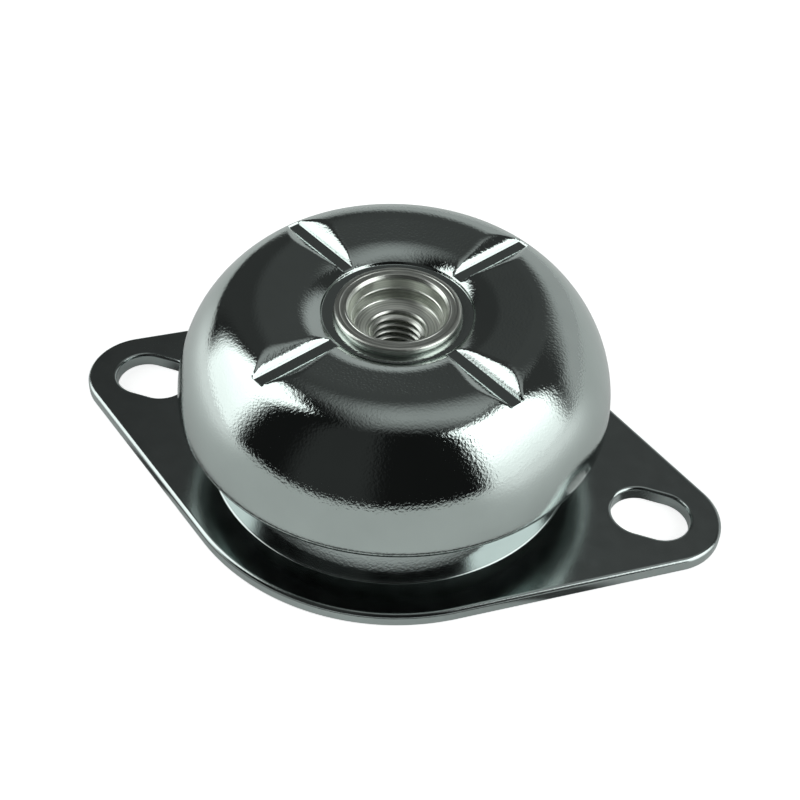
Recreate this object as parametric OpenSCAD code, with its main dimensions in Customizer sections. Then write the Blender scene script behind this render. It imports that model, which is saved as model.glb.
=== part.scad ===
// Bell-type rubber anti-vibration mount for a machine foot.
// A pressed steel bell and a turned threaded bush hang on a rubber spring,
// which stands on the drawn collar of a two-slot base plate.
// Millimetres, +Z up. The origin is on the floor, under the axis of the bush.

/* [Base plate] */
// Distance between the centres of the two fixing slots
slot_spacing = 120; // [116:1:126]
// Width of a fixing slot, across the long axis of the plate
slot_w = 13; // [11:0.5:14]
// Length of a fixing slot, along the long axis of the plate
slot_l = 17.4; // [15:0.2:18]
// Width of the plate across its middle
plate_w = 98.6; // [96:0.2:102]
// Radius of the rounded ends of the plate
end_r = 13; // [12.5:0.5:15]
// Thickness of the plate
plate_t = 3.2; // [2.6:0.2:3.6]
// Rounding of the plate's upper edges
plate_edge_r = 1; // [0.6:0.1:1.2]

/* [Collar drawn up from the plate] */
// Outer radius of the collar
collar_r = 39.6; // [38.6:0.2:40.2]
// Height of the collar's flat top above the floor
collar_h = 15; // [14.6:0.2:16]
// Radius of the hole in the collar's top
collar_hole_r = 24; // [22:0.5:25]

/* [Bell] */
// Largest diameter of the bell
bell_d = 94; // [93, 94, 95.5, 97]
// Thickness of the bell's sheet
bell_t = 2.5; // [2, 2.5, 2.8]
// Height of the bell's widest circle
equator_z = 20.5; // [20.5, 20.75, 21, 21.5]
// Height of the flat around the bush
flat_z = 42.4; // [41.9, 42.2, 42.4, 42.6]
// Radius of the bell's side in section
side_r = 29.4; // [28.6, 29.4, 29.6, 29.8]
// Radius of the crown's shoulder in section
crown_r = 12.5; // [12, 12.2, 12.5, 12.6, 12.9, 13]
// Outer bend radius of the turned-in lip
lip_bend_r = 3.5; // [3:0.1:4]

/* [Pressed grooves in the crown] */
// Number of grooves
groove_count = 4; // [4, 6]
// Direction of the first groove, measured from the long axis of the plate
groove_azimuth = 59.4; // [0:0.2:89.8]
// Width of a groove's flat floor
groove_floor_w = 2.6; // [2, 2.6, 3.6]
// Height of a groove's floor above the flat around the bush
groove_lift = 0.3; // [0.3:0.1:0.5]
// Slope of a groove's sides
groove_slope = 58; // [54:2:62]
// Distance from the axis to a groove's outer end
groove_end_r = 36.2; // [35, 36.2, 37]

/* [Threaded bush] */
// Radius of the thread's bore
thread_r = 6; // [5:0.5:6.5]
// Depth of the thread below the counterbore
thread_l = 22; // [16:1:24]
// Radius of the counterbore at its mouth
counterbore_r = 10.2; // [9.6:0.1:10.4]
// Radius of the rim that is rolled over the bell
rim_r = 13.4; // [13:0.1:14.2]
// Height of the rim's top above the floor
rim_z = 43.4; // [43.2:0.1:44]
// Radius of the bush's body inside the rubber
bush_r = 11; // [10:0.5:12]

/* [Rebound washer] */
// Outer radius of the washer
washer_r = 29; // [27:0.5:31]
// Thickness of the washer
washer_t = 3; // [2.5:0.1:3.2]
// Free rebound travel, from the washer's top to the collar's underside
rebound_gap = 1.8; // [1.8:0.1:2]

/* [Hidden] */
$fn = 96;

// How far a cutter reaches past the face that it opens.
cut = 1;

// Plate outline: one wide disc, two end discs and the straight edges between them.
slot_x = slot_spacing / 2;
end_past_slot = 2.5;
end_x = slot_x + end_past_slot;
wide_r = plate_w / 2;
edge_dir = acos((wide_r - end_r) / end_x);
edge_len = end_x * sin(edge_dir);
plate_under_r = 0.5;
slot_edge_r = 0.8;
rim_band = 8;

// Collar: bends of one sheet, whose two faces share the centre of each bend.
foot_bend_r = 1.2;
shoulder_bend_r = 4.6;

// Bell section: the side arc runs up to the blend angle, then come the crown's shoulder, a shallow
// cone that falls inwards, and a roll that dips to the seat of the bush.
bell_r = bell_d / 2;
blend_angle = 46;
side_x = bell_r - side_r;
crown_x = side_x + (side_r - crown_r) * cos(blend_angle);
crown_z = equator_z + (side_r - crown_r) * sin(blend_angle);
cone_slope = 6.5;
roll_r = 12;
lip_clearance = 2.2;
lip_hole_r = collar_r + lip_clearance;
seat_r = 15.9;
seat_depth = 0.5;
seat_slope = 0.3;
seat_z = flat_z - seat_depth;
flat_under_z = flat_z - bell_t;
neck_r = 12;
neck_flare = 0.3;

// The roll starts at the seat's outer edge and is tangent to the cone.
cone_dir = [cos(cone_slope), sin(cone_slope)];
cone_up = [-sin(cone_slope), cos(cone_slope)];
roll_start = [seat_r + seat_slope, flat_z];
roll_line = [crown_x, crown_z] + (crown_r - roll_r) * cone_up;
roll_offset = roll_start - roll_line;
roll_along = roll_offset * cone_dir + sqrt(roll_r * roll_r - pow(roll_offset * cone_up, 2));
roll_centre = roll_line + roll_along * cone_dir;

// Groove section: flat floor, steep wall and a shallow run-out to the crown.
groove_start_r = 14;
groove_wall_h = 1.4;
groove_runout_slope = 28;
groove_top = 12;

// Bush: neck through the bell, flange under it, body, and a spigot that carries the washer.
flange_r = 16.5;
flange_t = 4;
flange_z = flat_under_z - flange_t;
rim_round_r = 0.7;
counterbore_floor_z = 37.6;
counterbore_taper = 0.8;
floor_cone_h = 0.9;
thread_top_z = counterbore_floor_z - floor_cone_h;
thread_chamfer = 0.4;
drill_tip_slope = 30;
spigot_r = 8.5;
head_overlap = 1.8;
head_t = 1;

// Washer: hangs one rebound gap under the collar's top.
washer_top_z = collar_h - plate_t - rebound_gap;
washer_z = washer_top_z - washer_t;
washer_edge = 0.6;

// Rubber: foot on the collar's top, waist on the outer free side.
rubber_foot_in_r = collar_hole_r + 1;
rubber_foot_out_r = collar_r - shoulder_bend_r;
rubber_core_z = collar_h + 7;
waist_r = 17;
waist_depth = 2.2;

// A corner's waste: what a rounding of this radius takes off the corner at the origin.
module corner_waste(r) {
    difference() {
        translate([-r, -r])
            square([r + cut, r + cut]);
        translate([-r, -r])
            circle(r = r);
        translate([-r - cut, -r - cut])
            square([cut, r + 3 * cut]);
    }
}

// Half section of the plate's edge, as wide as asked, with its outer corners rounded.
module plate_section(width, depth) {
    difference() {
        translate([width - depth, 0])
            square([depth, plate_t]);
        translate([width, plate_t])
            corner_waste(plate_edge_r);
        mirror([0, 1])
            translate([width, 0])
                corner_waste(plate_under_r);
    }
}

// A round disc of the plate with rounded edges.
module plate_disc(r) {
    rotate_extrude()
        plate_section(r, r);
}

// One straight edge of the plate, from the wide disc to an end disc.
module plate_edge_band() {
    rotate([0, 0, edge_dir])
        rotate([90, 0, 0])
            linear_extrude(height = edge_len)
                plate_section(wide_r, rim_band);
}

// The plate inside its edge bands.
module plate_field() {
    inset = rim_band / 2;
    wide = wide_r - inset;
    end = end_r - inset;
    quarter = [
        [end_x + end * cos(edge_dir), end * sin(edge_dir)],
        [wide * cos(edge_dir), wide * sin(edge_dir)]
    ];
    linear_extrude(height = plate_t)
        polygon([
            quarter[0],
            quarter[1],
            [-quarter[1][0], quarter[1][1]],
            [-quarter[0][0], quarter[0][1]],
            [-quarter[0][0], -quarter[0][1]],
            [-quarter[1][0], -quarter[1][1]],
            [quarter[1][0], -quarter[1][1]],
            [quarter[0][0], -quarter[0][1]]
        ]);
}

// Half section of a slot cutter: straight wall, flared to round the slot's upper edge.
module slot_section() {
    half = slot_w / 2;
    translate([0, -cut])
        square([half, plate_t + 2 * cut]);
    difference() {
        translate([0, plate_t - slot_edge_r])
            square([half + slot_edge_r, slot_edge_r + cut]);
        translate([half + slot_edge_r, plate_t - slot_edge_r])
            circle(r = slot_edge_r);
    }
}

// Cutter for one fixing slot.
module slot_cutter() {
    reach = (slot_l - slot_w) / 2;
    for (side = [-1, 1])
        translate([side * reach, 0, 0])
            rotate_extrude()
                slot_section();
    for (turn = [0, 180])
        rotate([0, 0, turn])
            translate([-reach, 0, 0])
                rotate([90, 0, 90])
                    linear_extrude(height = 2 * reach)
                        slot_section();
}

// Section under the collar's outer face, with the fillet at its foot.
module collar_outer_section() {
    bend_x = collar_r + foot_bend_r;
    difference() {
        square([collar_r, collar_h]);
        translate([collar_r, collar_h])
            corner_waste(shoulder_bend_r);
    }
    difference() {
        square([bend_x, plate_t + foot_bend_r]);
        translate([bend_x, plate_t + foot_bend_r])
            circle(r = foot_bend_r);
    }
}

// Section of the hollow under the collar, one sheet thickness inside its outer face.
module collar_inner_section() {
    inner_r = collar_r - plate_t;
    bend_r = foot_bend_r + plate_t;
    difference() {
        translate([0, -cut])
            square([inner_r, collar_h - plate_t + cut]);
        translate([inner_r, collar_h - plate_t])
            corner_waste(shoulder_bend_r - plate_t);
    }
    difference() {
        translate([0, -cut])
            square([inner_r + bend_r, bend_r + cut]);
        translate([inner_r + bend_r, bend_r])
            circle(r = bend_r);
    }
}

// Base plate: one sheet with two slots and a collar drawn up in the middle.
module base_plate() {
    color([0.16, 0.17, 0.17])
        difference() {
            union() {
                plate_disc(wide_r);
                for (side = [-1, 1])
                    translate([side * end_x, 0, 0])
                        plate_disc(end_r);
                for (flip_x = [0, 1], flip_y = [0, 1])
                    mirror([flip_x, 0, 0])
                        mirror([0, flip_y, 0])
                            plate_edge_band();
                plate_field();
                rotate_extrude()
                    collar_outer_section();
            }
            rotate_extrude()
                collar_inner_section();
            cylinder(h = collar_h + cut, r = collar_hole_r);
            for (side = [-1, 1])
                translate([side * slot_x, 0, 0])
                    slot_cutter();
        }
}

// Section of the bell's envelope, offset inward by the given thickness.
module bell_section(inset) {
    side = side_r - inset;
    crown = crown_r - inset;
    lip = lip_bend_r - inset;
    roll = roll_r - inset;
    top = flat_z - inset;
    roll_in_x = roll_centre[0] - sqrt(roll * roll - pow(top - roll_centre[1], 2));
    intersection() {
        translate([side_x, equator_z])
            circle(r = side);
        polygon([
            [side_x, equator_z],
            [side_x + 2 * side_r, equator_z],
            [side_x + 2 * side_r * cos(blend_angle), equator_z + 2 * side_r * sin(blend_angle)]
        ]);
    }
    translate([crown_x, crown_z])
        circle(r = crown);
    translate(roll_centre)
        circle(r = roll);
    polygon([
        [0, equator_z - lip],
        [bell_r - lip_bend_r, equator_z - lip],
        [bell_r - lip_bend_r, equator_z],
        [crown_x, crown_z],
        [crown_x, crown_z] + crown * cone_up,
        roll_centre + roll * cone_up,
        roll_centre,
        [roll_in_x, top],
        [0, top]
    ]);
    translate([bell_r - lip_bend_r, equator_z])
        circle(r = lip);
}

// Cross section of a groove, floor at the origin, open upwards.
module groove_section() {
    half = groove_floor_w / 2;
    corner = [half + groove_wall_h / tan(groove_slope), groove_wall_h];
    run = groove_top - groove_wall_h;
    far = corner + run * [1 / tan(groove_runout_slope), 1];
    polygon([
        [half, 0],
        corner,
        far,
        [-far[0], far[1]],
        [-corner[0], corner[1]],
        [-half, 0]
    ]);
}

// Cutters for all the grooves, their floors at the given height.
module groove_cutters(floor_z) {
    for (i = [0 : groove_count - 1])
        rotate([0, 0, groove_azimuth + i * 360 / groove_count])
            translate([groove_start_r, 0, floor_z])
                rotate([90, 0, 90])
                    linear_extrude(height = groove_end_r - groove_start_r)
                        groove_section();
}

// The space inside the bell's sheet, open at the lip, with the undersides of the grooves left out.
module bell_cavity() {
    difference() {
        rotate_extrude()
            bell_section(bell_t);
        groove_cutters(flat_under_z + groove_lift);
    }
    cylinder(h = equator_z, r = lip_hole_r);
}

// Section of the bell's mouth: a hole that widens upwards, so that the bush can't pull down
// through it, and a shallow seat with a sloped wall for the bush's rim.
module bell_mouth_section() {
    polygon([
        [0, flat_under_z - cut],
        [neck_r, flat_under_z - cut],
        [neck_r, flat_under_z],
        [neck_r + neck_flare, seat_z],
        [seat_r, seat_z],
        [seat_r + seat_slope, flat_z],
        [seat_r + seat_slope, flat_z + cut],
        [0, flat_z + cut]
    ]);
}

// Bell: one sheet of constant thickness with pressed grooves and a turned-in lip.
module bell_cover() {
    color([0.74, 0.76, 0.77])
        difference() {
            rotate_extrude()
                bell_section(0);
            groove_cutters(flat_z + groove_lift);
            bell_cavity();
            rotate_extrude()
                bell_mouth_section();
        }
}

// Outer section of the bush, from the riveted head up to the rolled rim.
module bush_outer_section() {
    head_z = washer_z - head_t;
    head_r = spigot_r + head_overlap;
    polygon([
        [0, head_z],
        [spigot_r, head_z],
        [head_r, washer_z - head_t / 2],
        [head_r, washer_z],
        [spigot_r, washer_z],
        [spigot_r, washer_top_z],
        [bush_r, washer_top_z],
        [bush_r, flange_z],
        [flange_r, flange_z],
        [flange_r, flat_under_z],
        [neck_r, flat_under_z],
        [neck_r + neck_flare, seat_z],
        [neck_r + neck_flare, rim_z - cut],
        [0, rim_z - cut]
    ]);
    difference() {
        translate([0, seat_z])
            square([rim_r, rim_z - seat_z]);
        translate([rim_r, rim_z])
            corner_waste(rim_round_r);
    }
}

// Section of the bush's counterbore, thread bore and drill point.
module bush_bore_section() {
    thread_end_z = thread_top_z - thread_l;
    wall_r = counterbore_r - counterbore_taper;
    polygon([
        [0, rim_z + cut],
        [counterbore_r + rim_round_r, rim_z + cut],
        [counterbore_r + rim_round_r, rim_z],
        [counterbore_r, rim_z - rim_round_r],
        [wall_r, counterbore_floor_z],
        [thread_r + thread_chamfer, thread_top_z + thread_chamfer],
        [thread_r, thread_top_z],
        [thread_r, thread_end_z],
        [0, thread_end_z - thread_r * tan(drill_tip_slope)]
    ]);
}

// Turned bush: rim over the bell, flange under it, spigot riveted under the washer.
module core_bush() {
    color([0.56, 0.57, 0.52])
        rotate_extrude()
            difference() {
                bush_outer_section();
                bush_bore_section();
            }
}

// Section of the rubber before the bell and the bush shape it.
module rubber_section() {
    top = flat_z;
    out_mid = [rubber_foot_out_r, (collar_h + crown_z) / 2];
    difference() {
        polygon([
            [bush_r - cut, rubber_core_z],
            [bush_r, rubber_core_z],
            [rubber_foot_in_r, collar_h],
            [rubber_foot_out_r, collar_h],
            [rubber_foot_out_r + cut, crown_z],
            [rubber_foot_out_r + cut, top],
            [bush_r - cut, top]
        ]);
        translate([out_mid[0] + waist_r - waist_depth, out_mid[1]])
            circle(r = waist_r);
    }
}

// Rubber spring, moulded between the bell, the bush and the collar's top.
module rubber_spring() {
    color([0.07, 0.07, 0.07])
        difference() {
            intersection() {
                rotate_extrude()
                    rubber_section();
                bell_cavity();
            }
            rotate_extrude()
                bush_outer_section();
        }
}

// Rebound washer: a flat disc that catches under the collar's top.
module rebound_washer() {
    color([0.62, 0.62, 0.58])
        rotate_extrude()
            polygon([
                [spigot_r, washer_z],
                [washer_r - washer_edge, washer_z],
                [washer_r, washer_z + washer_edge],
                [washer_r, washer_top_z - washer_edge],
                [washer_r - washer_edge, washer_top_z],
                [spigot_r, washer_top_z]
            ]);
}

base_plate();
rubber_spring();
bell_cover();
core_bush();
rebound_washer();
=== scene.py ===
# %% [markdown]
# # A bell mount for a machine foot
# This lesson dresses a steel and rubber anti-vibration mount, piece by piece. The imported model is
# loaded first, as a fixed frame: it gives every place and size, and it is never moved. Each piece
# below is then turned or pressed in the same frame, in metres, and the steel ones ride on one of
# its bodies.

# %% Load the frame
import math

import bmesh
import bpy
import numpy as np
from mathutils import Matrix


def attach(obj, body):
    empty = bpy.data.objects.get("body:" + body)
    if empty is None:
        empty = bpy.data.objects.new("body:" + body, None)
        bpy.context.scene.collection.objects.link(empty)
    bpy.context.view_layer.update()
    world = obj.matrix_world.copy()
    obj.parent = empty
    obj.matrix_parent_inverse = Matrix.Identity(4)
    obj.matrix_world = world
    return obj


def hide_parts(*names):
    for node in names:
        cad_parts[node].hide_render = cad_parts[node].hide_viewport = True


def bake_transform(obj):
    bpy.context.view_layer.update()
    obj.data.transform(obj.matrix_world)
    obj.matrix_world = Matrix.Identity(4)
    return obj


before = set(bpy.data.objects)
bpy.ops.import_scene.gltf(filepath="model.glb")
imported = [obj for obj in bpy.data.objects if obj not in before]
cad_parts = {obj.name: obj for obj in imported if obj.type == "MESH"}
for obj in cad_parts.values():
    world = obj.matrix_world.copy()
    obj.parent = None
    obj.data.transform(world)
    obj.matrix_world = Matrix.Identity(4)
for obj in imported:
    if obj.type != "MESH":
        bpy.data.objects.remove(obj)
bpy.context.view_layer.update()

MM = 0.001

# %% [markdown]
# ## Drawing a section
# Nearly every piece of this mount is round, so it is made as a lathe or a press would make it: from
# a half section of radius and height. Corners of a section are never dead sharp on a real part, so
# one helper rounds them, and another gives the points of an arc.


# %% Helpers for sections, in millimetres
def arc(centre, radius, start, end, count):
    """Points on an arc, from one angle to another in degrees, both ends included."""
    angles = np.radians(np.linspace(start, end, count + 1))
    return [(centre[0] + radius * math.cos(a), centre[1] + radius * math.sin(a)) for a in angles]


def rounded(corners):
    """A line through corners (x, z, radius, count), each rounded where its radius isn't 0."""
    line = []
    for i, (x, z, radius, count) in enumerate(corners):
        if radius == 0 or i in (0, len(corners) - 1):
            line.append((x, z))
            continue
        here = np.array([x, z])
        back = np.array(corners[i - 1][:2]) - here
        ahead = np.array(corners[i + 1][:2]) - here
        back, ahead = back / np.linalg.norm(back), ahead / np.linalg.norm(ahead)
        half = math.acos(np.clip(back @ ahead, -1, 1)) / 2
        middle = back + ahead
        centre = here + middle / np.linalg.norm(middle) * radius / math.sin(half)
        first = here + back * radius / math.tan(half) - centre
        last = here + ahead * radius / math.tan(half) - centre
        for share in np.linspace(0, 1, count + 1):
            way = first * (1 - share) + last * share
            line.append(tuple(centre + way / np.linalg.norm(way) * radius))
    return line


print("points on a rounded corner:", len(rounded([(0, 0, 0, 0), (1, 0, 0.5, 4), (1, 1, 0, 0)])) - 2)

# %% [markdown]
# ## Turning a ring
# A circle is the start. Its edge is extruded from point to point of the section and scaled to each
# radius, as a spinner pushes a disc over a form. A closed section ends where it began, so its last
# ring is merged with the first, and a radius of 0 is merged into a pole. The frame's nodes are
# selected after loading, so all is deselected first.


# %% Helpers for turned pieces
POLE, MERGED = 0.01, 0.002  # millimetres: the ring at a pole, and what counts as one point


def choose(obj):
    """Selects one object alone and makes it the active one."""
    bpy.ops.object.select_all(action="DESELECT")
    obj.select_set(True)
    bpy.context.view_layer.objects.active = obj


def close_pole(obj, height):
    """Merges the tiny ring round the axis at a height, in edit mode."""
    mesh = bmesh.from_edit_mesh(obj.data)
    bpy.ops.mesh.select_all(action="DESELECT")
    bpy.ops.mesh.select_mode(type="VERT")
    for v in mesh.verts:
        near = math.hypot(v.co.x, v.co.y) < 2 * POLE * MM
        v.select_set(near and abs(v.co.z - height * MM) < POLE * MM)
    bmesh.update_edit_mesh(obj.data)
    bpy.ops.mesh.merge(type="CENTER")


def turn(name, section, steps):
    """Turns a section, a list of (radius, height) in millimetres, round the Z axis."""
    bpy.ops.object.select_all(action="DESELECT")
    radius, height = max(section[0][0], POLE), section[0][1]
    bpy.ops.mesh.primitive_circle_add(vertices=steps, radius=radius * MM)
    obj = bpy.context.object
    obj.name = obj.data.name = name
    bpy.ops.object.mode_set(mode="EDIT")
    bpy.ops.mesh.select_mode(type="EDGE")
    bpy.ops.mesh.select_all(action="SELECT")
    bpy.ops.transform.translate(value=(0, 0, height * MM))
    for r, z in section[1:]:
        rise = (0, 0, (z - height) * MM)
        bpy.ops.mesh.extrude_edges_move(TRANSFORM_OT_translate={"value": rise})
        share = max(r, POLE) / radius
        bpy.ops.transform.resize(value=(share, share, 1), center_override=(0, 0, z * MM))
        radius, height = max(r, POLE), z
    for r, z in (section[0], section[-1]):
        if r == 0:
            close_pole(obj, z)
    bpy.ops.mesh.select_all(action="SELECT")
    bpy.ops.mesh.remove_doubles(threshold=MERGED * MM)
    bpy.ops.mesh.normals_make_consistent(inside=False)
    bpy.ops.object.mode_set(mode="OBJECT")
    return obj


def reshape(obj, section, table):
    """Moves each vertex of a turned ring to its place in a table of rows and columns."""
    rows, columns = np.array(section), table.shape[1]
    co = np.array([v.co for v in obj.data.vertices]) / MM
    turned = np.arctan2(co[:, 1], co[:, 0]) / (2 * math.pi / columns)
    column = np.rint(turned).astype(int) % columns
    reach = np.hypot(co[:, 0], co[:, 1])[:, None] - rows[None, :, 0]
    row = np.argmin(np.abs(reach) + np.abs(co[:, 2:3] - rows[None, :, 1]), axis=1)
    obj.data.vertices.foreach_set("co", (table[row, column] * MM).astype(np.float32).ravel())
    obj.data.update()


def outward(obj):
    """Merges what meets and turns every face outwards."""
    choose(obj)
    bpy.ops.object.mode_set(mode="EDIT")
    bpy.ops.mesh.select_all(action="SELECT")
    bpy.ops.mesh.remove_doubles(threshold=MERGED * MM)
    bpy.ops.mesh.normals_make_consistent(inside=False)
    bpy.ops.object.mode_set(mode="OBJECT")


def smooth(obj, degrees=38):
    """Shades a piece smooth, save for edges that are sharper than an angle."""
    choose(obj)
    bpy.ops.object.shade_smooth_by_angle(angle=math.radians(degrees))
    print(f"{obj.name}: {sum(len(p.vertices) - 2 for p in obj.data.polygons)} triangles")


print("points closer than this, in mm, become one:", MERGED)

# %% [markdown]
# ## The finishes
# The bell and the plate are the same bright plated steel. A plated pressing isn't a perfect mirror:
# the sheet's own grain, half a millimetre fine, breaks the edge of every reflection, and the
# press leaves slow waves. Both come from noise in a bump, and two more noises vary the tone and the
# gloss. The plate keeps the rolled sheet's duller face, and only its collar is polished by the die.


# %% Helpers for materials
def new_material(name):
    """A new material, with its nodes and links."""
    made = bpy.data.materials.new(name)
    made.use_nodes = True
    return made, made.node_tree.nodes, made.node_tree.links


def noise(nodes, links, vector, scale, detail=2.0):
    """Cloudy noise, whose scale is about the number of its patches in a metre."""
    made = nodes.new("ShaderNodeTexNoise")
    made.inputs["Scale"].default_value = scale
    made.inputs["Detail"].default_value = detail
    links.new(vector, made.inputs["Vector"])
    return made.outputs["Fac"]


def spread(nodes, links, value, low, high, start=0.3, end=0.7):
    """Maps a noise to a range of values."""
    made = nodes.new("ShaderNodeMapRange")
    made.inputs["From Min"].default_value = start
    made.inputs["From Max"].default_value = end
    made.inputs["To Min"].default_value = low
    made.inputs["To Max"].default_value = high
    links.new(value, made.inputs["Value"])
    return made.outputs["Result"]


def two_tones(nodes, links, factor, colour, tone, shader):
    """Gives the shader a colour that darkens by a tone where the factor is low."""
    mix = nodes.new("ShaderNodeMix")
    mix.data_type = "RGBA"
    mix.inputs["A"].default_value = (*(c * tone for c in colour), 1)
    mix.inputs["B"].default_value = (*colour, 1)
    links.new(factor, mix.inputs["Factor"])
    links.new(mix.outputs["Result"], shader.inputs["Base Color"])


def bump(nodes, links, height, depth, normal=None):
    """Tilts the normal as a relief of some depth in metres would, on top of an earlier bump."""
    made = nodes.new("ShaderNodeBump")
    made.inputs["Strength"].default_value = 1.0
    made.inputs["Distance"].default_value = depth
    links.new(height, made.inputs["Height"])
    if normal is not None:
        links.new(normal, made.inputs["Normal"])
    return made.outputs["Normal"]


print("materials so far:", len(bpy.data.materials))

# %% Plated steel
CLOUDS, STAINS, WAVES, GRAINS = 90, 260, 120, 1900  # patches of each noise in a metre
CLOUD_TONE = 0.93
DULL_BELOW, POLISHED_ABOVE = 3.3 * MM, 4.6 * MM


def plated_steel(name, colour, gloss, grain, wave, dull=0.0):
    """gloss is a pair of roughnesses, grain and wave are depths, dull roughens the rolled face."""
    made, nodes, links = new_material(name)
    shader = nodes["Principled BSDF"]
    place = nodes.new("ShaderNodeTexCoord").outputs["Object"]
    shader.inputs["Metallic"].default_value = 1.0
    cloud = spread(nodes, links, noise(nodes, links, place, CLOUDS, 4), 0, 1)
    two_tones(nodes, links, cloud, colour, CLOUD_TONE, shader)
    stain = noise(nodes, links, place, STAINS, 3)
    apart = nodes.new("ShaderNodeSeparateXYZ")
    links.new(place, apart.inputs[0])
    rolled = spread(nodes, links, apart.outputs["Z"], dull, 0, DULL_BELOW, POLISHED_ABOVE)
    rough = nodes.new("ShaderNodeMath")
    links.new(spread(nodes, links, stain, *gloss), rough.inputs[0])
    links.new(rolled, rough.inputs[1])
    links.new(rough.outputs[0], shader.inputs["Roughness"])
    slow = bump(nodes, links, noise(nodes, links, place, WAVES, 1), wave)
    fine = bump(nodes, links, noise(nodes, links, place, GRAINS, 2.5), grain, slow)
    links.new(fine, shader.inputs["Normal"])
    return made


bell_steel = plated_steel("bell_steel", (0.56, 0.62, 0.60), (0.03, 0.06), 3.4e-5, 2.0e-5)
plate_steel = plated_steel("plate_steel", (0.49, 0.54, 0.53), (0.05, 0.10), 1.4e-5, 1.0e-5, 0.10)
print("finishes:", bell_steel.name, plate_steel.name)

# %% [markdown]
# The bush was turned and zinc plated, and not polished. Tool marks run round it as fine rings, so
# the bump and the tone read the distance from the axis and the height. Zinc is also duller.

# %% Turned zinc
MARKS, SPECKS, SPOTS = 2600, 3000, 420  # patches of each noise in a metre
MARK_TONE = 0.58


def turned_zinc(name, colour, gloss, rings):
    """gloss is a pair of roughnesses, and rings is the depth of the tool marks."""
    made, nodes, links = new_material(name)
    shader = nodes["Principled BSDF"]
    place = nodes.new("ShaderNodeTexCoord").outputs["Object"]
    shader.inputs["Metallic"].default_value = 1.0
    apart = nodes.new("ShaderNodeSeparateXYZ")
    links.new(place, apart.inputs[0])
    flat = nodes.new("ShaderNodeVectorMath")
    flat.operation = "MULTIPLY"
    flat.inputs[1].default_value = (1, 1, 0)
    links.new(place, flat.inputs[0])
    reach = nodes.new("ShaderNodeVectorMath")
    reach.operation = "LENGTH"
    links.new(flat.outputs["Vector"], reach.inputs[0])
    ring_place = nodes.new("ShaderNodeCombineXYZ")
    links.new(reach.outputs["Value"], ring_place.inputs["X"])
    links.new(apart.outputs["Z"], ring_place.inputs["Y"])
    marks = noise(nodes, links, ring_place.outputs["Vector"], MARKS)
    specks = noise(nodes, links, place, SPECKS)
    ringed = bump(nodes, links, marks, rings)
    links.new(bump(nodes, links, specks, rings / 4, ringed), shader.inputs["Normal"])
    spots = noise(nodes, links, place, SPOTS, 4)
    links.new(spread(nodes, links, spots, *gloss), shader.inputs["Roughness"])
    two_tones(nodes, links, spread(nodes, links, marks, 0, 1, 0.36, 0.6), colour, MARK_TONE, shader)
    return made


bush_steel = turned_zinc("bush_steel", (0.84, 0.87, 0.81), (0.28, 0.35), 3.2e-5)
washer_steel = turned_zinc("washer_steel", (0.58, 0.59, 0.55), (0.24, 0.40), 0.8e-5)
print("finishes:", bush_steel.name, washer_steel.name)

# %% [markdown]
# Moulded rubber is nearly black and matt. The mould leaves a fine grain, and the surface carries a
# little grey bloom, so the colour and the gloss both wander slightly.

# %% Moulded rubber
BLOOM, SHEEN, MOULD = 130, 500, 2200  # patches of each noise in a metre
BLACK, GREY = (0.014, 0.014, 0.015, 1), (0.034, 0.034, 0.035, 1)
MATT, MOULD_DEPTH = (0.55, 0.8), 2.0e-5
rubber, nodes, links = new_material("moulded_rubber")
shader = nodes["Principled BSDF"]
place = nodes.new("ShaderNodeTexCoord").outputs["Object"]
bloom = nodes.new("ShaderNodeMix")
bloom.data_type = "RGBA"
bloom.inputs["A"].default_value = BLACK
bloom.inputs["B"].default_value = GREY
bloom_noise = noise(nodes, links, place, BLOOM, 5)
sheen_noise = noise(nodes, links, place, SHEEN, 3)
mould_noise = noise(nodes, links, place, MOULD)
links.new(spread(nodes, links, bloom_noise, 0, 1), bloom.inputs["Factor"])
links.new(bloom.outputs["Result"], shader.inputs["Base Color"])
links.new(spread(nodes, links, sheen_noise, *MATT), shader.inputs["Roughness"])
links.new(bump(nodes, links, mould_noise, MOULD_DEPTH), shader.inputs["Normal"])
print("finish:", rubber.name)

# %% [markdown]
# ## The bell
# The bell is one sheet, drawn to a dome, with its lip turned in and its crown pressed down in four
# grooves. A mirror shows every facet, so the mesh has to follow the form. From the outside in, the
# section is a large side arc, a tighter shoulder, a shallow cone that falls inwards and a roll that
# dips to the bush. They are tangent to each other, so no crease shows in the reflections.

# %% Section of the bell, in millimetres
SHEET = 2.5
FLAT_Z, SEAT_R = 42.4, 16.2
SIDE, SIDE_R = (17.6, 20.5), 29.4
CROWN_R, ROLL_R = 12.5, 12.0
BLEND, CONE = 46.0, 6.5
LIP, LIP_R, LIP_HOLE_R = (43.5, 20.5), 3.5, 41.8
NECK_R, RECESS, RECESS_SLOPE = 12.0, 0.5, 0.3
blend = math.radians(BLEND)
CROWN = (
    SIDE[0] + (SIDE_R - CROWN_R) * math.cos(blend),
    SIDE[1] + (SIDE_R - CROWN_R) * math.sin(blend),
)
cone_along = np.array([math.cos(math.radians(CONE)), math.sin(math.radians(CONE))])
cone_up = np.array([-cone_along[1], cone_along[0]])
roll_line = np.array(CROWN) + (CROWN_R - ROLL_R) * cone_up
roll_offset = np.array([SEAT_R, FLAT_Z]) - roll_line
roll_along = roll_offset @ cone_along + math.sqrt(ROLL_R**2 - (roll_offset @ cone_up) ** 2)
ROLL = tuple(roll_line + roll_along * cone_along)


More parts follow.
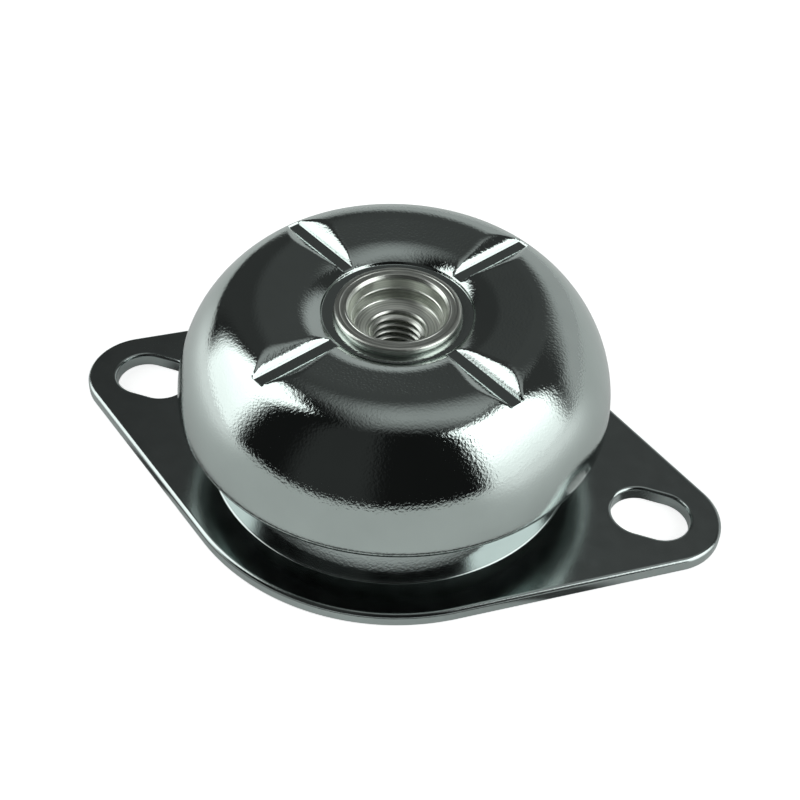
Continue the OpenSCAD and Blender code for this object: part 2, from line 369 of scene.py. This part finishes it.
def crown_line(drop, rows):
    """The sheet's top from the flat out to the side arc, moved inward by drop."""
    roll = ROLL_R - drop
    first = 180 - math.degrees(math.asin((FLAT_Z - drop - ROLL[1]) / roll))
    dip = arc(ROLL, roll, first, 90 + CONE, rows[0])
    shoulder = arc(CROWN, CROWN_R - drop, 90 + CONE, BLEND, rows[2])
    start, end = np.array(dip[-1]), np.array(shoulder[0])
    cone = [tuple(start + (end - start) * i / rows[1]) for i in range(1, rows[1])]
    return dip + cone + shoulder


bell_top = crown_line(0, (18, 14, 52))
mouth = rounded(
    [
        (NECK_R, FLAT_Z - SHEET, 0, 0),
        (NECK_R + RECESS_SLOPE, FLAT_Z - RECESS, 0.15, 2),
        (SEAT_R - RECESS_SLOPE, FLAT_Z - RECESS, 0.25, 4),
        (SEAT_R, FLAT_Z, 0.2, 5),
        (*bell_top[1], 0, 0),
    ]
)
outside = (
    mouth
    + bell_top[2:]
    + arc(SIDE, SIDE_R, BLEND, 0, 44)[1:]
    + arc(LIP, LIP_R, 0, -90, 12)[1:]
)
lip_under = LIP[1] - LIP_R
lip_edge = rounded(
    [
        (LIP[0], lip_under, 0, 0),
        (LIP_HOLE_R, lip_under, 0.35, 3),
        (LIP_HOLE_R, lip_under + SHEET, 0.35, 3),
        (LIP[0], lip_under + SHEET, 0, 0),
    ]
)
inside = (
    arc(LIP, LIP_R - SHEET, -90, 0, 5)[1:]
    + arc(SIDE, SIDE_R - SHEET, 0, BLEND, 14)[1:]
    + crown_line(SHEET, (6, 4, 14))[-2::-1]
    + [(NECK_R, FLAT_Z - SHEET)]
)
bell_section = outside + lip_edge[1:] + inside
print("rows on the bell:", len(bell_section), "of which outside:", len(outside))

# %% [markdown]
# ## Columns that run along the grooves
# On plain spokes, the long straight edges of a groove would cross the mesh at a slant and look
# ragged in the mirror. So in each quarter of the bell a band of columns lies at fixed distances
# from the groove's middle line, close together where the form bends, and the rest fan out between.

# %% Columns of the bell
GROOVES, GROOVE_TURN = 4, 59.4
ACROSS = [0, 0.45, 0.9, 1.12, 1.24, 1.36, 1.5, 1.8, 2.2, 2.6, 2.9, 3.15, 3.4, 3.65, 3.9, 4.2]
ACROSS += [4.5, 4.8, 5.1, 5.4, 5.75, 6.15, 6.6, 7.2]
STRAIGHT_BAND, STRAIGHT_FROM, STRAIGHT_TO = (5.2, 7.1), (28, 34), (38.5, 43.5)
FAN = 20
QUARTER = 2 * (len(ACROSS) - 1) + 2 * FAN
COLUMNS = GROOVES * QUARTER


def ease(low, high, x):
    """A smooth step from 0 to 1 between two values."""
    t = np.clip((np.asarray(x, float) - low) / (high - low), 0, 1)
    return t * t * (3 - 2 * t)


def column_place(radius):
    """Distances along and across the groove for one quarter's columns, at a radius.

    Far out, the columns of the band stand in a straight row, so that the groove's end is clean."""
    band = np.array([-v for v in ACROSS[:0:-1]] + ACROSS)
    edge = math.asin(ACROSS[-1] / radius)
    fan = edge + (math.pi / GROOVES - edge) * np.arange(1, FAN + 1) / FAN
    straight = (1 - ease(*STRAIGHT_BAND, np.abs(band))) * ease(*STRAIGHT_FROM, radius)
    straight *= 1 - ease(*STRAIGHT_TO, radius)
    curved = np.sqrt(radius**2 - band**2)
    along = curved * (1 - straight) + radius * straight
    u = np.concatenate([radius * np.cos(-fan[-2::-1]), along, radius * np.cos(fan)])
    v = np.concatenate([radius * np.sin(-fan[-2::-1]), band, radius * np.sin(fan)])
    return u, v


print("columns:", COLUMNS, "check:", len(column_place(30.0)[0]) * GROOVES)

# %% [markdown]
# ## Pressing the grooves
# The punch is a function: for a place along and across the groove it gives the height of its face,
# with a flat nose, steep sides, a run-out that flattens as it climbs, and a steep end. The sheet
# takes the lower of its own height and the punch, and a small smooth step stands for each bend.

# %% The punch
FLOOR_Z, FLOOR_HALF, WALL_H = FLAT_Z + 0.3, 1.25, 1.0
WALL_SLOPE, END_SLOPE = math.tan(math.radians(58)), math.tan(math.radians(72))
RUNOUT_START, RUNOUT_BEND, RUNOUT_REACH = math.tan(math.radians(31)), 0.036, 3.6
GROOVE_END = 36.0
FLOOR_BEND, WALL_BEND, END_BEND, SHEET_BEND = 0.12, 0.22, 0.2, 0.3


def lower(a, b, bend):
    """The lower of two heights, with a smooth bend between them."""
    near = np.maximum(bend - np.abs(a - b), 0) / bend
    return np.minimum(a, b) - near * near * bend / 4


def punch(u, v):
    """Height of the punch's face, u along and v across the groove."""
    side = np.abs(v)
    wall = FLOOR_Z + (side - FLOOR_HALF) * WALL_SLOPE
    corner = FLOOR_HALF + WALL_H / WALL_SLOPE
    past = np.maximum(side - corner, 0)
    bent = np.minimum(past, RUNOUT_REACH)
    runout = FLOOR_Z + WALL_H + past * RUNOUT_START - (2 * past - bent) * bent * RUNOUT_BEND
    slopes = lower(wall, runout, WALL_BEND)
    face = -lower(-np.full_like(side, FLOOR_Z), -slopes, FLOOR_BEND)
    end = FLOOR_Z + (u - GROOVE_END) * END_SLOPE
    return -lower(-face, -end, END_BEND)


def sheet_height(radius, drop):
    """Height of the sheet at a radius, for its outside or, with a drop, for its inside."""
    low = np.array(ROLL) + (ROLL_R - drop) * cone_up
    high = np.array(CROWN) + (CROWN_R - drop) * cone_up
    edge = CROWN[0] + (CROWN_R - drop) * math.cos(blend)
    heights = [low[1] + (radius - low[0]) * math.tan(math.radians(CONE))]
    for (x, z), r in ((ROLL, ROLL_R), (CROWN, CROWN_R), (SIDE, SIDE_R)):
        heights.append(z + np.sqrt(np.maximum((r - drop) ** 2 - (radius - x) ** 2, 0)))
    cone, dip, shoulder, side = heights
    top = np.where(radius < low[0], dip, np.where(radius < high[0], cone, shoulder))
    return np.where(radius < edge, top, side)


print("punch at the middle and shoulder:", punch(np.array([30.0, 30.0]), np.array([0.0, 4.0])))

# %% [markdown]
# The bell is turned like any ring, and its vertices are then moved to their columns and pressed.
# The rows of the dome are pressed from outside by the punch, and the rows of the inside by the same
# punch one sheet lower, so the groove shows on both faces of the sheet, as it does on a pressing.

# %% Helpers for the press
DOME_FROM_R, DOME_FROM_Z = SEAT_R + 0.3, 33.0


def press_table(section, pressed, drop):
    """Places of a dome's rows and columns. pressed holds the row numbers that the punch reaches."""
    table = np.zeros((len(section), COLUMNS, 3))
    for i, (r, z) in enumerate(section):
        u, v = column_place(r)
        height = np.full_like(u, z)
        if i in pressed:
            height = sheet_height(np.hypot(u, v), drop)
            height = lower(height, punch(u, v) - drop, SHEET_BEND)
        for q in range(GROOVES):
            a = math.radians(GROOVE_TURN + 360 / GROOVES * q)
            place = slice(q * QUARTER, (q + 1) * QUARTER)
            table[i, place, 0] = u * math.cos(a) - v * math.sin(a)
            table[i, place, 1] = u * math.sin(a) + v * math.cos(a)
            table[i, place, 2] = height
    return table


def dome_rows(section, rows):
    """The rows, of those given, that lie on the dome where the punch or the columns move it."""
    return [
        i for i in rows if DOME_FROM_R < section[i][0] < LIP[0] and section[i][1] > DOME_FROM_Z
    ]


print("columns in a groove's band:", 2 * len(ACROSS) - 1)

# %% Turn and press the bell
start_in = len(outside) + len(lip_edge) - 1
outer_rows = dome_rows(bell_section, range(len(outside)))
inner_rows = dome_rows(bell_section, range(start_in, len(bell_section) - 1))
outer_table = press_table(bell_section, outer_rows, 0)
inner_table = press_table(bell_section, inner_rows, SHEET)
outer_table[start_in:] = inner_table[start_in:]
outer_table[-1] = outer_table[0]
bell = turn("bell_sheet", bell_section, COLUMNS)
reshape(bell, bell_section, outer_table)
outward(bell)
smooth(bell)
bell.data.materials.append(bell_steel)
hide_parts("bell_cover")
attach(bell, "bell")

# %% [markdown]
# ## The base plate
# The plate is one sheet too: two slots are punched and a collar is drawn up in the middle. Its edge
# is a ring whose columns are moved onto the plate's outline, the slots are two more rings, and the
# collar is turned, with a flank that leans inwards by 13 degrees so that it leaves the die. Where
# the rings meet the flat faces, the loops are filled as one face with holes.

# %% Outline of the plate, in millimetres
PLATE_T, EDGE_R, UNDER_R, SLOT_EDGE = 3.2, 1.0, 0.5, 0.8
WIDE_R, END_R, END_X, SLOT_X = 49.3, 13.0, 62.5, 60.0
SLOT_HALF, SLOT_REACH, SLOT_STEPS = 6.5, 2.2, 96
EDGE_DIR = math.acos((WIDE_R - END_R) / END_X)


def outline(inset):
    """The plate's outline, moved inward by inset, as points in order round the plate."""
    quarter = [
        (END_X + (END_R - inset) * math.cos(a), (END_R - inset) * math.sin(a))
        for a in np.linspace(0, EDGE_DIR, 33)
    ]
    wide = [
        ((WIDE_R - inset) * math.cos(a), (WIDE_R - inset) * math.sin(a))
        for a in np.linspace(EDGE_DIR, math.pi / 2, 33)
    ]
    start, end = quarter[-1], wide[0]
    for share in (0.25, 0.5, 0.75):
        quarter.append(tuple(a * (1 - share) + b * share for a, b in zip(start, end)))
    quarter += wide
    top = quarter + [(-x, y) for x, y in quarter[-2::-1]]
    return np.array(top + [(x, -y) for x, y in top[-2:0:-1]])


def slot_line(grow, side):
    """One slot's outline, moved outward by grow, as points in order round the slot."""
    angles = np.linspace(0, 2 * math.pi, SLOT_STEPS + 1)[:-1]
    reach = SLOT_HALF + grow
    bend = np.clip(np.cos(angles) * 1e9, -1, 1) * SLOT_REACH
    bend[SLOT_STEPS // 4] = SLOT_REACH
    bend[SLOT_STEPS * 3 // 4] = -SLOT_REACH
    return np.stack(
        [side * SLOT_X + reach * np.cos(angles) + bend, reach * np.sin(angles)], axis=1
    )


print("points on the outline:", len(outline(0)))

# %% Edge and slots
edge_section = (
    arc((WIDE_R - EDGE_R, PLATE_T - EDGE_R), EDGE_R, 90, 0, 7)
    + arc((WIDE_R - UNDER_R, UNDER_R), UNDER_R, 0, -90, 4)
)
edge = turn("plate_sheet", edge_section, len(outline(0)))
table = np.array([[(x, y, z) for x, y in outline(WIDE_R - r)] for r, z in edge_section])
reshape(edge, edge_section, table)
slot_section = arc((SLOT_HALF + SLOT_EDGE, PLATE_T - SLOT_EDGE), SLOT_EDGE, 90, 180, 5) + [
    (SLOT_HALF, 0)
]
parts = [edge]
for side in (-1, 1):
    slot = turn(f"slot_{side + 1}", slot_section, SLOT_STEPS)
    table = np.array(
        [[(x, y, z) for x, y in slot_line(r - SLOT_HALF, side)] for r, z in slot_section]
    )
    reshape(slot, slot_section, table)
    parts.append(slot)
print("points on a slot:", len(slot_line(0, 1)), "rings so far:", len(parts))

# %% The collar
FOOT_R, COLLAR_H, HOLE_R, LEAN = 40.8, 15.0, 24.0, math.tan(math.radians(13))
SHOULDER, FOOT_BEND, UNDER_BEND, HOLE_EDGE = 4.6, 0.5, 3.6, 0.4
flank_x = FOOT_R - (COLLAR_H - PLATE_T) * LEAN
under_x = flank_x - PLATE_T * (math.sqrt(1 + LEAN**2) - LEAN)
collar_section = rounded(
    [
        (FOOT_R + 1, PLATE_T, 0, 0),
        (FOOT_R, PLATE_T, FOOT_BEND, 5),
        (flank_x, COLLAR_H, SHOULDER, 16),
        (HOLE_R, COLLAR_H, HOLE_EDGE, 3),
        (HOLE_R, COLLAR_H - PLATE_T, HOLE_EDGE, 3),
        (under_x, COLLAR_H - PLATE_T, SHOULDER - PLATE_T, 6),
        (under_x + (COLLAR_H - PLATE_T) * LEAN, 0, UNDER_BEND, 8),
        (FOOT_R + 2, 0, 0, 0),
    ]
)
parts.append(turn("collar", collar_section, 256))
print("rings of the plate:", len(parts))

# %% Join the rings and fill the flat faces between them
LEVEL = 0.001 * MM
bpy.ops.object.select_all(action="DESELECT")
for part in parts:
    part.select_set(True)
bpy.context.view_layer.objects.active = edge
bpy.ops.object.join()
plate = bpy.context.object
bpy.ops.object.mode_set(mode="EDIT")
for level in (PLATE_T, 0.0):
    bpy.ops.mesh.select_mode(type="EDGE")
    bpy.ops.mesh.select_all(action="DESELECT")
    mesh = bmesh.from_edit_mesh(plate.data)
    for e in mesh.edges:
        on_level = all(abs(v.co.z - level * MM) < LEVEL for v in e.verts)
        e.select_set(on_level and len(e.link_faces) == 1)
    bmesh.update_edit_mesh(plate.data)
    bpy.ops.mesh.fill(use_beauty=True)
bpy.ops.object.mode_set(mode="OBJECT")
outward(plate)
smooth(plate)

# %% [markdown]
# Smooth shading bends the light on a flat face where it meets a rounded edge. So each corner that
# lies on a flat level gets a straight normal.


# %% Straight normals on the flats
def true_flats(obj, levels):
    """Gives the corners on flat levels a straight normal, so that no rounding bleeds into them."""
    mesh = obj.data
    wanted = [(0.0, 0.0, 0.0)] * len(mesh.loops)
    for polygon in mesh.polygons:
        if abs(polygon.normal.z) < 0.5:
            continue
        for loop in polygon.loop_indices:
            z = mesh.vertices[mesh.loops[loop].vertex_index].co.z
            if any(abs(z - level * MM) < LEVEL for level in levels):
                wanted[loop] = (0.0, 0.0, math.copysign(1.0, polygon.normal.z))
    mesh.normals_split_custom_set(wanted)


true_flats(plate, (0.0, PLATE_T, COLLAR_H, COLLAR_H - PLATE_T))
plate.data.materials.append(plate_steel)
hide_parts("base_plate")
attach(plate, "base")

# %% [markdown]
# ## The threaded bush
# The bush is turned from bar: a flange bears against the bell from below, the rim is rolled out
# over the bell's seat, and the counterbore guides the bolt into the thread. Its section closes on
# the axis at both ends, at the riveted head and at the drill's point.

# %% Turn the bush
THREAD_R, HOLE_END = 6.0, 14.7
bush_section = rounded(
    [
        # the riveted head, and the shank in the washer
        (0, 6.0, 0, 0),
        (8.5, 6.0, 0.6, 3),
        (10.3, 6.5, 0.2, 2),
        (10.3, 7.0, 0, 0),
        (8.5, 7.0, 0, 0),
        (8.5, 10.0, 0, 0),
        # the body, and the flange under the bell
        (11.0, 10.0, 0.3, 2),
        (11.0, 35.9, 0, 0),
        (16.5, 35.9, 0.4, 3),
        (16.5, 39.9, 0.2, 2),
        (12.0, 39.9, 0, 0),
        # the neck in the bell's mouth, and the rolled rim
        (12.3, 41.9, 0, 0),
        (13.4, 41.9, 0.25, 3),
        (13.4, 43.4, 0.68, 7),
        (12.2, 43.4, 0.1, 2),
        (12.05, 43.28, 0.1, 2),
        (11.2, 43.28, 0.1, 2),
        (11.05, 43.4, 0.12, 2),
        (10.75, 43.4, 0.25, 3),
        # the counterbore
        (10.2, 42.7, 0.4, 4),
        (9.75, 40.6, 0.05, 2),
        (9.55, 40.5, 0.05, 2),
        (9.4, 37.6, 0.6, 4),
        (6.4, 37.1, 0.1, 2),
        # the thread's hole, and the drill's point
        (THREAD_R, 36.7, 0.1, 2),
        (THREAD_R, HOLE_END, 0.1, 2),
        (0, HOLE_END - THREAD_R * math.tan(math.radians(30)), 0, 0),
    ]
)
bush = turn("turned_bush", bush_section, 192)
print("rows on the bush:", len(bush_section))

# %% [markdown]
# The thread's ridge is a small trapezium that climbs round the bore, one pitch a turn. The Screw
# modifier sweeps it, and its two ends are closed. It is joined to the bush, as it is cut from it.

# %% Cut the thread
PITCH, TURNS, CREST_R, THREAD_Z = 1.75, 12, 5.12, 15.6
bpy.ops.object.select_all(action="DESELECT")
bpy.ops.mesh.primitive_circle_add(vertices=6, radius=MM)
ridge = bpy.context.object
ridge.name = "thread_ridge"
half_ridge = [(THREAD_R + 0.3, 0.8), (THREAD_R - 0.02, 0.74), (CREST_R, 0.16)]
ridge_line = [(r, -z) for r, z in half_ridge] + half_ridge[::-1]
for vertex, (r, z) in zip(ridge.data.vertices, ridge_line):
    vertex.co = (r * MM, 0, (z + THREAD_Z) * MM)
sweep = ridge.modifiers.new("climb", "SCREW")
sweep.axis, sweep.angle = "Z", 2 * math.pi
sweep.screw_offset, sweep.iterations = PITCH * MM, TURNS
sweep.steps = sweep.render_steps = 72
sweep.use_merge_vertices = False
bpy.ops.object.modifier_apply(modifier="climb")
bpy.ops.object.mode_set(mode="EDIT")
bpy.ops.mesh.select_mode(type="EDGE")
bpy.ops.mesh.select_all(action="DESELECT")
bpy.ops.mesh.select_non_manifold()
bpy.ops.mesh.fill()
bpy.ops.object.mode_set(mode="OBJECT")
outward(ridge)
bush.select_set(True)
bpy.context.view_layer.objects.active = bush
bpy.ops.object.join()
smooth(bush, 30)
bush.data.materials.append(bush_steel)
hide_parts("core_bush")
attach(bush, "bell")

# %% [markdown]
# ## The rebound washer
# A flat washer under the bush catches below the collar if the machine lifts. It is a plain blanked
# ring, so it gets the slightly rounded edges of blanking.

# %% Turn the washer
WASHER_HOLE, WASHER_R, WASHER_LOW, WASHER_TOP = 8.55, 29.0, 7.0, 10.0
washer_middle = (WASHER_HOLE, (WASHER_LOW + WASHER_TOP) / 2, 0, 0)
washer_section = rounded(
    [
        washer_middle,
        (WASHER_HOLE, WASHER_LOW, 0.2, 2),
        (WASHER_R, WASHER_LOW, 0.6, 4),
        (WASHER_R, WASHER_TOP, 0.6, 4),
        (WASHER_HOLE, WASHER_TOP, 0.2, 2),
        washer_middle,
    ]
)
washer = turn("catch_washer", washer_section, 160)
smooth(washer)
true_flats(washer, (WASHER_LOW, WASHER_TOP))
washer.data.materials.append(washer_steel)
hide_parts("rebound_washer")
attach(washer, "bell")

# %% [markdown]
# ## The rubber spring
# The rubber is moulded in place, so it takes the inside of the bell with its grooves, the bush and
# the collar's top, and only its waist is free. Its top rows are pressed by the same punch as the
# bell.

# %% Mould the rubber
GAP = 0.03  # millimetres that keep the rubber's faces off the steel
CORE_R, CORE_Z = 11.0 + GAP, 22.0
FLANGE_R, FLANGE_Z, FLANGE_TOP = 16.5 + GAP, 35.9 - GAP, 39.8
FOOT_Z, FOOT_IN, FOOT_OUT = COLLAR_H + GAP, 25.0, 34.95
EDGE_X, EDGE_Z = 36.0, 36.8
WAIST, WAIST_R, WAIST_FROM, WAIST_TO = (49.8, 23.83), 17.0, 209.5, 144.3
spring_section = (
    [(CORE_R, CORE_Z), (FOOT_IN, FOOT_Z), (FOOT_OUT, FOOT_Z)]
    + arc(WAIST, WAIST_R, WAIST_FROM, WAIST_TO, 18)
    + [(EDGE_X, EDGE_Z)]
)
wall_rows = len(spring_section)
spring_section.append((EDGE_X, float(sheet_height(np.array(EDGE_X), SHEET + GAP))))
spring_top = crown_line(SHEET + GAP, (6, 4, 20))[::-1]
spring_section += [point for point in spring_top if point[0] < EDGE_X - 0.1]
top_rows = range(wall_rows, len(spring_section))
spring_section += [
    (FLANGE_R, FLANGE_TOP),
    (FLANGE_R, FLANGE_Z),
    (CORE_R, FLANGE_Z),
    (CORE_R, CORE_Z),
]
spring_table = press_table(spring_section, top_rows, SHEET + GAP)
spring_table[-1] = spring_table[0]
spring = turn("rubber_body", spring_section, COLUMNS)
reshape(spring, spring_section, spring_table)
outward(spring)
smooth(spring, 40)
spring.data.materials.append(rubber)
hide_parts("rubber_spring")
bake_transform(spring)

# %% [markdown]
# ## The studio
# Bright plated steel looks like the room round it. The room here is dark in front, with a tall soft
# box on each side, a grey backdrop behind and a dim patch of light overhead. It is painted in the
# world by direction, so it stays in place when the camera moves.


# %% Sums for the room
world = bpy.data.worlds.new("studio")
bpy.context.scene.world = world
world.use_nodes = True
nodes, links = world.node_tree.nodes, world.node_tree.links
nodes.clear()


def calc(operation, *values):
    """Adds a math node that works on numbers or on other nodes' values."""
    made = nodes.new("ShaderNodeMath")
    made.operation = operation
    for i, value in enumerate(values):
        if isinstance(value, (int, float)):
            made.inputs[i].default_value = value
        else:
            links.new(value, made.inputs[i])
    return made.outputs[0]


def step(value, low, high, start=0.0, end=1.0):
    """A soft step between two values, from start to end."""
    made = nodes.new("ShaderNodeMapRange")
    made.interpolation_type = "SMOOTHSTEP"
    made.inputs["From Min"].default_value = low
    made.inputs["From Max"].default_value = high
    made.inputs["To Min"].default_value = start
    made.inputs["To Max"].default_value = end
    links.new(value, made.inputs["Value"])
    return made.outputs["Result"]


def product(*values):
    """Multiplies all the values."""
    total = values[0]
    for value in values[1:]:
        total = calc("MULTIPLY", total, value)
    return total


def turn_from(angle, centre):
    """How far a direction is turned away from a centre, in degrees, without its sign."""
    return calc("ABSOLUTE", calc("WRAP", calc("SUBTRACT", angle, centre), 180.0, -180.0))


print("room:", world.name)

# %% [markdown]
# A soft box is a little wider towards its top, as it leans over the mount, and brighter there than
# at the table. Each box is a product of soft steps round its direction, in degrees. In front there
# is only a faint patch.

# %% The soft boxes
DIM, FRONT_GLOW = 0.010, 0.026
BOX_FOOT, BRIGHTER = (-14, -8), (0, 32)
way = nodes.new("ShaderNodeTexCoord").outputs["Generated"]
apart = nodes.new("ShaderNodeSeparateXYZ")
links.new(way, apart.inputs[0])
angle = calc("DEGREES", calc("ARCTAN2", apart.outputs["Y"], apart.outputs["X"]))
height = calc("DEGREES", calc("ARCSINE", apart.outputs["Z"]))
BOXES = [
    # direction, lean, half width, spread, softness,
    # top, softness, brightness at the table and above
    (-1, 0.0, 24.5, 0.06, 4.5, 57, 2.5, 1.30, 2.2),
    (188, 0.06, 19.5, 0.07, 6.0, 62, 2.5, 1.55, 2.0),
]
front = step(turn_from(angle, -100), 14, 26, 1.0, 0.0)
light = calc("ADD", DIM, product(front, FRONT_GLOW))
for direction, lean, half, widen, soft, top, soft_top, at_table, bright in BOXES:
    leaning = calc("ADD", angle, calc("MULTIPLY", height, lean))
    past = calc("SUBTRACT", turn_from(leaning, direction), calc("MULTIPLY", height, widen))
    side = step(past, half - soft, half + soft, 1.0, 0.0)
    upper = step(height, top - soft_top, top + soft_top, 1.0, 0.0)
    foot = step(height, *BOX_FOOT)
    shining = step(height, *BRIGHTER, at_table, bright)
    light = calc("ADD", light, product(side, upper, foot, shining))
print("soft boxes:", len(BOXES))

# %% [markdown]
# The backdrop is a grey arch behind the mount, lower to its sides and darker above. The light
# overhead lies in the plane of a ceiling, so it is bounded in that plane, behind and beside the
# mount. The camera itself sees plain white.

# %% The backdrop and the light overhead
ARCH_MIDDLE, ARCH_FALL = 76, 0.0130
fall = calc("MULTIPLY", calc("POWER", turn_from(angle, ARCH_MIDDLE), 2.0), ARCH_FALL)
arch = step(calc("ADD", height, fall), 26, 42, 0.46, 0.035)
backdrop = product(arch, step(turn_from(angle, 84), 62, 84, 1.0, 0.0))
light = calc("ADD", light, backdrop)


def along(direction):
    """How far a ray to the ceiling runs along a direction there, for a ceiling of height 1."""
    turned = math.radians(direction)
    dot = calc(
        "ADD",
        calc("MULTIPLY", apart.outputs["X"], math.cos(turned)),
        calc("MULTIPLY", apart.outputs["Y"], math.sin(turned)),
    )
    return calc("DIVIDE", dot, calc("MAXIMUM", apart.outputs["Z"], 0.02))


LOOKING = 107.4  # the direction that the camera looks in, seen from above
behind, beside = along(LOOKING), along(LOOKING - 90)
ceiling = product(
    step(behind, 0.10, 0.86, 0.36, 0.03),  # dims towards the back
    step(behind, -0.50, 0.05),  # front end
    step(beside, -0.38, 0.02),  # left end
    step(beside, 0.48, 0.58, 1.0, 0.0),  # right end
    step(apart.outputs["Z"], 0.3, 0.5),  # none low in the room
)
light = calc("ADD", light, ceiling)
print("the camera looks along, in degrees:", LOOKING)

# %% The room's light, and white for the camera
rays = nodes.new("ShaderNodeLightPath")
room = nodes.new("ShaderNodeBackground")
room.inputs["Color"].default_value = (0.97, 1.0, 0.99, 1)
links.new(light, room.inputs["Strength"])
white = nodes.new("ShaderNodeBackground")
white.inputs["Strength"].default_value = 1.0
choice = nodes.new("ShaderNodeMixShader")
links.new(rays.outputs["Is Camera Ray"], choice.inputs["Fac"])
links.new(room.outputs["Background"], choice.inputs[1])
links.new(white.outputs["Background"], choice.inputs[2])
out = nodes.new("ShaderNodeOutputWorld")
links.new(choice.outputs["Shader"], out.inputs["Surface"])
print("nodes in the room:", len(nodes))

# %% [markdown]
# The floor is a pale card that takes the shadow. A glowing white is added to it for the camera in
# full and for reflections in part: the plated steel shows this floor as a mid grey, with painted
# pools of light that brighten it towards the soft boxes.

# %% The floor's card and its white
CARD, CARD_WHITE = (0.80, 0.82, 0.81, 1), 0.82
SHOWN, PAINTED_POOL_FAR = 0.17, 0.62
bpy.ops.object.select_all(action="DESELECT")
bpy.ops.mesh.primitive_plane_add(size=6.0, location=(0, 0, -0.2 * MM))
floor = bpy.context.object
floor.name = "floor"
bpy.ops.object.transform_apply(location=True, rotation=False, scale=True)
card, nodes, links = new_material("pale_card")
nodes.clear()
matt = nodes.new("ShaderNodeBsdfDiffuse")
matt.inputs["Color"].default_value = CARD
glow = nodes.new("ShaderNodeEmission")
rays = nodes.new("ShaderNodeLightPath")
clear_rays = calc("MAXIMUM", rays.outputs["Is Camera Ray"], rays.outputs["Is Transmission Ray"])
place = nodes.new("ShaderNodeTexCoord").outputs["Object"]
apart = nodes.new("ShaderNodeSeparateXYZ")
links.new(place, apart.inputs[0])
angle = calc("DEGREES", calc("ARCTAN2", apart.outputs["Y"], apart.outputs["X"]))
reach = nodes.new("ShaderNodeVectorMath")
reach.operation = "LENGTH"
links.new(place, reach.inputs[0])
far = reach.outputs["Value"]
# painted pools of light: for reflections the card glows brighter towards the two soft boxes
painted_light_pools = [step(turn_from(angle, towards), 14, 40, 1.0, 0.0) for towards in (-1, 186)]
painted_pool_light = product(calc("ADD", *painted_light_pools), step(far, 0.05, 0.30, 0.0, PAINTED_POOL_FAR))
reflected = product(rays.outputs["Is Glossy Ray"], calc("ADD", SHOWN, painted_pool_light))
seen = calc("MAXIMUM", clear_rays, reflected)
links.new(calc("MULTIPLY", seen, CARD_WHITE), glow.inputs["Strength"])
both = nodes.new("ShaderNodeAddShader")
links.new(matt.outputs["BSDF"], both.inputs[0])
links.new(glow.outputs["Emission"], both.inputs[1])
print("nodes in the card:", len(nodes))

# %% [markdown]
# For reflections the card ends in front, as a table does, and it is nearly clear in a narrow ring
# close round the plate, which darkens the floor there as the mount's own shadow would. Seen from
# below the card is left clear, so that the mount's underside can be looked at too.

# %% Where the card is clear
TABLE_END = (-0.36, -0.30)
RING_FROM, RING_TO, PAINTED_SHADOW_DARK = (0.052, 0.054), (0.057, 0.0635), 0.85
table_end = step(apart.outputs["Y"], *TABLE_END, 1.0, 0.0)
# painted shadow: for reflections the card is nearly clear in a ring round the plate, so it darkens
# there
ring = product(step(far, *RING_FROM), step(far, *RING_TO, PAINTED_SHADOW_DARK, 0.0))
lost = product(rays.outputs["Is Glossy Ray"], calc("MAXIMUM", table_end, ring))
side_seen = nodes.new("ShaderNodeNewGeometry")
clear = nodes.new("ShaderNodeBsdfTransparent")
faces = nodes.new("ShaderNodeMixShader")
links.new(calc("MAXIMUM", side_seen.outputs["Backfacing"], lost), faces.inputs["Fac"])
links.new(both.outputs["Shader"], faces.inputs[1])
links.new(clear.outputs["BSDF"], faces.inputs[2])
out = nodes.new("ShaderNodeOutputMaterial")
links.new(faces.outputs["Shader"], out.inputs["Surface"])
floor.data.materials.append(card)
print("floor:", floor.name)

# %% [markdown]
# ## The camera
# The camera stands in front and a little to the right, and looks down at about 44 degrees. Its
# place and turn come from the plate's outline, its slots and the bell's outline.

# %% Camera and view
bpy.ops.object.camera_add()
camera = bpy.context.object
camera.name = "front_camera"
camera.data.sensor_width = 36.0
camera.data.lens = 63.094
camera.data.clip_start, camera.data.clip_end = 0.01, 20.0
RIGHT = (0.94313596, 0.33056566, 0.03494152)
UP = (-0.25457148, 0.65069878, 0.71539112)
BACKWARD = (0.21374733, -0.68360621, 0.69785001)
PLACE = (0.0675116, -0.2114035, 0.2327200)
camera.matrix_world = Matrix([*zip(RIGHT, UP, BACKWARD, PLACE), (0, 0, 0, 1)])
scene = bpy.context.scene
scene.camera = camera
scene.view_settings.view_transform = "Standard"
print("lens:", round(camera.data.lens, 2))
